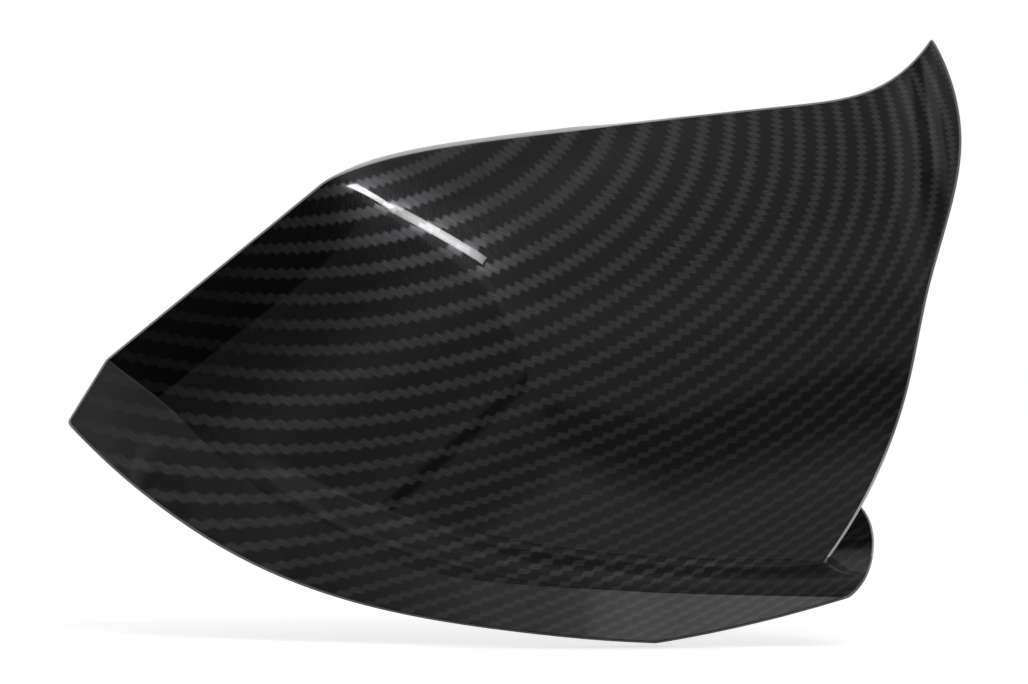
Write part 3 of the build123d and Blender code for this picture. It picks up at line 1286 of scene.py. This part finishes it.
@dataclass
class MirrorCover:
    """The cover: its moulded inside, its twill skin and the rolled edge round it.

    The rolled edge swells along the top. Faces of the solid that lie within the skin's gap and
    face forward make room for the skin.
    """

    form: CoverForm = CoverForm()
    edges: CutEdges = CutEdges()
    ledge_line: FairLine = FairLine(
        ((-90.0, -18.8), (-65.2, -31.4), (-41.3, -42.3), (-12.0, -50.0))
        + ((22.0, -55.2), (59.5, -57.2), (95.0, -56.6))
    )
    crease_line: FairLine = FairLine(
        ((-108.0, -6.2), (-92.0, -17.5), (-77.2, -31.0), (-53.9, -48.5))
        + ((-38.4, -55.1), (-22.8, -58.7), (24.2, -63.1), (81.0, -65.3))
    )
    edge_radius: float = 0.35
    edge_swell: float = 1.2
    edge_swell_start: float = -52.0
    edge_swell_end: float = 16.0
    edge_swell_fade: float = 12.0
    edge_spacing: float = 1.0
    edge_sides: int = 12
    skin_gap: float = 0.3
    skin_facing: float = -0.15
    sharp_crease: float = 0.02
    smooth_angle: float = 28.0
    weld_gap: float = 1e-6
    skin_weld_gap: float = 2e-6

    def build(self, node: Object) -> list[Object]:
        """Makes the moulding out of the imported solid, the skin and the rolled edge."""
        skin = self.build_skin()
        return [self.build_moulding(node), skin, self.build_edge(skin)]

    def build_skin(self) -> Object:
        """Lays the skin out flat and lifts it.

        Returns:
            The skin.
        """
        layout = SkinLayout(self.form, self.edges, self.ledge_line, self.crease_line)
        points, quads, blade = [], [], []
        for sheet in Sheet:
            sheet_points, sheet_quads = layout.trimmed(sheet)
            quads.append(sheet_quads + sum(len(block) for block in points))
            points.append(sheet_points)
            blade.append(np.full(len(sheet_points), 1.0 if sheet is Sheet.BLADE else 0.0))
        flat = np.concatenate(points)
        mesh = bpy.data.meshes.new("skin_layout")
        spots = np.stack([flat[:, 0], np.zeros(len(flat)), flat[:, 1]], axis=1)
        mesh.from_pydata(spots.tolist(), [], np.concatenate(quads).tolist())
        stored = {
            "ledge_z": self.ledge_line.height(flat[:, 0]),
            "crease_z": self.crease_line.height(flat[:, 0]),
            "blade": np.concatenate(blade),
        }
        for name, numbers in stored.items():
            layer = mesh.attributes.new(name, "FLOAT", "POINT")
            layer.data.foreach_set("value", numbers.astype(np.float32))
        tree = SkinTree("skin_lift")
        tree.build(self.form)
        sizes = {entry.name: getattr(self.form, entry.name) for entry in fields(self.form)}
        inputs = {**sizes, "material": TwillFinish().material()}
        skin = tree.applied_to(mesh, inputs, "twill_skin")
        self.weld(skin.data, self.skin_weld_gap)
        return skin

    def weld(self, mesh: Mesh, distance: float) -> None:
        """Joins points that lie together and drops what is left loose.

        Args:
            mesh: The mesh to mend.
            distance: How close they are.
        """
        work = bmesh.new()
        work.from_mesh(mesh)
        bmesh.ops.remove_doubles(work, verts=work.verts, dist=distance)
        bmesh.ops.dissolve_degenerate(work, edges=work.edges, dist=distance)
        loose = [vert for vert in work.verts if not vert.link_faces]
        bmesh.ops.delete(work, geom=loose, context="VERTS")
        work.to_mesh(mesh)
        work.free()

    def build_edge(self, skin: Object) -> Object:
        """Rolls the coat's edge along the skin's border.

        Args:
            skin: The finished skin.

        Returns:
            The rolled edge.
        """
        tree = RimTree("rim_roll")
        tree.build()
        inputs = {
            "radius": self.edge_radius * MM,
            "swell": self.edge_swell,
            "swell_start": self.edge_swell_start * MM,
            "swell_end": self.edge_swell_end * MM,
            "swell_fade": self.edge_swell_fade * MM,
            "spacing": self.edge_spacing * MM,
            "sides": self.edge_sides,
            "material": PaintedEdgeHighlight().material(),
        }
        return tree.applied_to(skin.data.copy(), inputs, "rim_edge")

    def build_moulding(self, node: Object) -> Object:
        """Copies the solid without the outer faces that the skin takes over.

        Args:
            node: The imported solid.

        Returns:
            The moulding.
        """
        mesh = node.data.copy()
        mesh.name = "moulding"
        work = bmesh.new()
        work.from_mesh(mesh)
        bmesh.ops.remove_doubles(work, verts=work.verts, dist=self.weld_gap)
        work.normal_update()
        outer = [face for face in work.faces if self.is_skin(face)]
        bmesh.ops.delete(work, geom=outer, context="FACES")
        for face in work.faces:
            face.smooth = True
        limit = math.radians(self.smooth_angle)
        for edge in work.edges:
            edge.smooth = edge.is_manifold and edge.calc_face_angle(0.0) < limit
        work.to_mesh(mesh)
        work.free()
        mesh.materials.clear()
        mesh.materials.append(MouldingFinish().material())
        return placed("moulding", mesh)

    def is_skin(self, face: bmesh.types.BMFace) -> bool:
        """Tells whether a face of the solid lies under the skin.

        Args:
            face: A face of the solid.

        Returns:
            True if all its corners lie on the outside and it looks forward.
        """
        spots = np.array([vert.co for vert in face.verts]) / MM
        x, z = spots[:, 0], spots[:, 2]
        ledge_z, crease_z = self.ledge_line.height(x), self.crease_line.height(x)
        sharp = replace(self.form, root_rounding=0.0, crease_rounding=self.sharp_crease)
        outside = sharp.outer(x, z, ledge_z, crease_z)
        near = np.abs(spots[:, 1] + outside) < self.skin_gap
        if x.min() > self.edges.door_foot[0]:
            near |= np.abs(spots[:, 1] + sharp.ledge(x, z, ledge_z)) < self.skin_gap
        return bool(near.all()) and face.normal.y < self.skin_facing

    def dress(self, pieces: Sequence[Object]) -> None:
        """Hands the pieces to the frame.

        Args:
            pieces: The moulding, the skin and the rolled edge.
        """
        for piece in pieces:
            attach(piece, BODY)
        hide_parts(NODE)


@dataclass(frozen=True)
class Glow:
    """A soft card in the studio, seen in reflections as a patch of one level.

    Attributes:
        azimuth: Degrees to the right of straight ahead of the cover.
        elevation: Degrees above the horizon.
        width: Half its angle across, in degrees.
        height: Half its angle upwards, in degrees.
        level: Its brightness.
        side_fade: How far its sides fade, as a share of its width.
        end_fade: How far its upper and lower ends fade, as a share of its height.
    """

    azimuth: float
    elevation: float
    width: float
    height: float
    level: float
    side_fade: float = 0.5
    end_fade: float = 0.5

    def axes(self) -> tuple[Vector, Vector, Vector]:
        """Directions to the card, across it and up it.

        Returns:
            The three directions.
        """
        azimuth, elevation = math.radians(self.azimuth), math.radians(self.elevation)
        flat = math.cos(elevation)
        ahead = Vector(
            (flat * math.sin(azimuth), -flat * math.cos(azimuth), math.sin(elevation))
        )
        across = Vector((math.cos(azimuth), math.sin(azimuth), 0.0))
        return ahead, across, across.cross(-ahead)

    def mask(self, canvas: Canvas, direction: NodeSocket) -> Value:
        """How much of the card is seen in a direction.

        Args:
            canvas: Where the nodes go.
            direction: The direction that is looked along.

        Returns:
            1 on the card and 0 off it.
        """
        ahead, across, upward = (self.along(canvas, direction, axis) for axis in self.axes())
        facing = most(ahead, GRAZING)
        sides = []
        for offset, half, fade in (
            (across, self.width, self.side_fade),
            (upward, self.height, self.end_fade),
        ):
            share = offset / facing * (1.0 / math.tan(math.radians(half)))
            reach = most(share, -share)
            sides.append(ease((1.0 + fade - reach) * (0.5 / fade)))
        return sides[0] * sides[1] * canvas.math("GREATER_THAN", ahead, GRAZING)

    def along(self, canvas: Canvas, direction: NodeSocket, axis: Vector) -> Value:
        """Part of a direction along an axis."""
        dot = canvas.node("ShaderNodeVectorMath", {0: direction, 1: axis}, operation="DOT_PRODUCT")
        return canvas.out(dot, "Value")


@dataclass(frozen=True)
class Strip:
    """A small lamp close to the cover, which shows it as a bar or a patch.

    Attributes:
        start: One end of the lamp.
        end: The other end.
        width: How wide it is.
        aim: The direction it shines in.
        glow: Its power for each square metre.
        spread: How wide its beam is, in degrees.
    """

    start: Spot
    end: Spot
    width: float
    aim: Spot
    glow: float = 1.15
    spread: float = 30.0

    def length(self) -> float:
        """The lamp's length."""
        return (Vector(self.end) - Vector(self.start)).length

    def pose(self) -> Matrix:
        """Where the lamp hangs.

        Returns:
            A matrix with the length along y and the light going down z.
        """
        start, end, back = Vector(self.start), Vector(self.end), -Vector(self.aim)
        side = (end - start).cross(back)
        axes = (side.normalized(), back.cross(side).normalized(), back.normalized())
        return Matrix.Translation((start + end) / 2.0) @ Matrix(axes).transposed().to_4x4()


@dataclass
class Studio:
    """White floor and surroundings, soft light and the camera.

    Each card lies over those before it. The strips make the bar on the ridge and fill the horn.
    The picture is so many pixels wide, each so many millimetres at the cover.
    """

    floor_z: float = -0.0785
    floor_half: float = 6.0
    camera_distance: float = 1.5
    picture_width: float = 1028.0
    pixel_size: float = 0.27
    sensor_width: float = 36.0
    view_end: float = 50.0
    key_size: tuple[float, float] = (1.2, 0.8)
    key_power: float = 9.0
    key_place: Spot = (0.5, -1.1, 1.3)
    key_target: Spot = (0.0, -0.04, 0.0)
    room_level: float = 0.3
    cards: tuple[Glow, ...] = (
        Glow(15.0, 62.0, 40.0, 6.0, 0.36),
        Glow(20.0, 40.0, 40.0, 4.0, 0.17),
        Glow(20.0, 28.0, 45.0, 5.0, 0.45, 0.3, 0.3),
        Glow(-80.0, 59.0, 30.0, 7.0, 0.45, 0.4, 0.3),
        Glow(-88.0, 46.0, 12.0, 6.0, 0.09, 0.9, 0.3),
        Glow(-150.0, 65.0, 20.0, 9.0, 0.17, 0.5, 0.5),
        Glow(-52.0, 40.0, 14.0, 3.5, 0.22, 0.5, 0.6),
        Glow(-123.0, 49.0, 11.0, 10.0, 0.0, 0.3, 0.2),
        Glow(-109.0, 47.6, 10.5, 3.2, 0.0, 0.03, 0.08),
        Glow(-97.0, 40.8, 12.0, 3.2, 0.45, 0.4, 0.25),
        Glow(-35.0, 33.0, 0.8, 3.0, 0.09, 0.6, 0.3),
        Glow(160.0, 10.0, 42.0, 32.0, 1.3, 0.2, 0.15),
        Glow(0.0, -70.0, 70.0, 40.0, 0.25, 0.1, 0.1),
        Glow(90.0, -59.0, 50.0, 34.2, 0.75, 0.3, 0.47),
    )
    strips: tuple[Strip, ...] = (
        Strip((-0.0689, 0.0125, 0.09), (-0.06, -0.011, 0.09), 0.01, (0.455, -0.26, -0.851)),
        Strip((-0.06, -0.011, 0.09), (-0.021, -0.05, 0.09), 0.016, (0.33, 0.0, -0.944)),
        Strip(
            (0.0375, -0.035, 0.118),
            (0.046, 0.0236, 0.152),
            0.03,
            (0.66, -0.1, -0.745),
            glow=0.03,
            spread=44.0,
        ),
    )

    def build(self) -> None:
        """Sets up everything round the cover."""
        self.build_floor()
        self.build_world()
        self.build_lamps()
        self.build_camera()
        bpy.context.scene.view_settings.view_transform = "Standard"

    def build_floor(self) -> None:
        """Lays a wide white floor under the cover."""
        half = self.floor_half
        corners = [(-half, -half), (half, -half), (half, half), (-half, half)]
        mesh = bpy.data.meshes.new("floor")
        mesh.from_pydata([(x, y, self.floor_z) for x, y in corners], [], [(0, 1, 2, 3)])
        mesh.materials.append(FloorFinish().material())
        floor = placed("floor", mesh)
        floor.visible_glossy = False

    def build_world(self) -> None:
        """Paints the surroundings: white to look at, a soft room in reflections."""
        world = bpy.data.worlds.new("studio")
        bpy.context.scene.world = world
        world.use_nodes = True
        canvas = Canvas(world.node_tree)
        direction = canvas.node("ShaderNodeTexCoord").outputs["Generated"]
        room: Number = self.room_level
        for card in self.cards:
            room = between(room, card.level, card.mask(canvas, direction))
        seen = canvas.out(canvas.node("ShaderNodeLightPath"), "Is Camera Ray")
        sockets = {"Color": between(room, 1.0, seen), "Strength": 1.0}
        background = canvas.node("ShaderNodeBackground", sockets)
        canvas.node("ShaderNodeOutputWorld", {"Surface": background})

    def build_lamps(self) -> None:
        """Hangs a wide soft lamp in front and the small lamps close to the cover."""
        key = self.lamp("soft_key", self.key_size, self.key_power)
        key.location = self.key_place
        aim = Vector(self.key_target) - key.location
        key.rotation_euler = aim.to_track_quat("-Z", "Y").to_euler()
        key.visible_glossy = False
        for strip in self.strips:
            size = (strip.width, strip.length())
            lamp = self.lamp("strip", size, strip.glow * size[0] * size[1])
            lamp.data.spread = math.radians(strip.spread)
            lamp.visible_camera = False
            lamp.matrix_world = strip.pose()

    def lamp(self, name: str, size: tuple[float, float], energy: float) -> Object:
        """Adds a rectangular lamp.

        Args:
            name: The lamp's name.
            size: Its width and length.
            energy: Its power.

        Returns:
            The lamp.
        """
        light = bpy.data.lights.new(name, "AREA")
        light.shape = "RECTANGLE"
        light.size, light.size_y = size
        light.energy = energy
        return placed(name, light)

    def build_camera(self) -> None:
        """Places the camera straight in front of the cover."""
        camera = bpy.data.cameras.new("camera")
        camera.sensor_width = self.sensor_width
        width = self.picture_width * self.pixel_size * MM
        camera.lens = self.sensor_width * self.camera_distance / width
        camera.clip_end = self.view_end
        view = placed("camera", camera)
        view.location = (0.0, -self.camera_distance, 0.0)
        view.rotation_euler = (math.radians(90.0), 0.0, 0.0)
        bpy.context.scene.camera = view


def main() -> None:
    """Builds the cover and the studio in order."""
    logging.basicConfig(level=logging.INFO, format="%(name)s %(message)s")
    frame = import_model()
    cover = MirrorCover()
    pieces = cover.build(frame["nodes"][NODE])
    cover.dress(pieces)
    for piece in pieces:
        log.info("%s: %d faces", piece.name, len(piece.data.polygons))
    Studio().build()


if __name__ == "__main__":
    main()
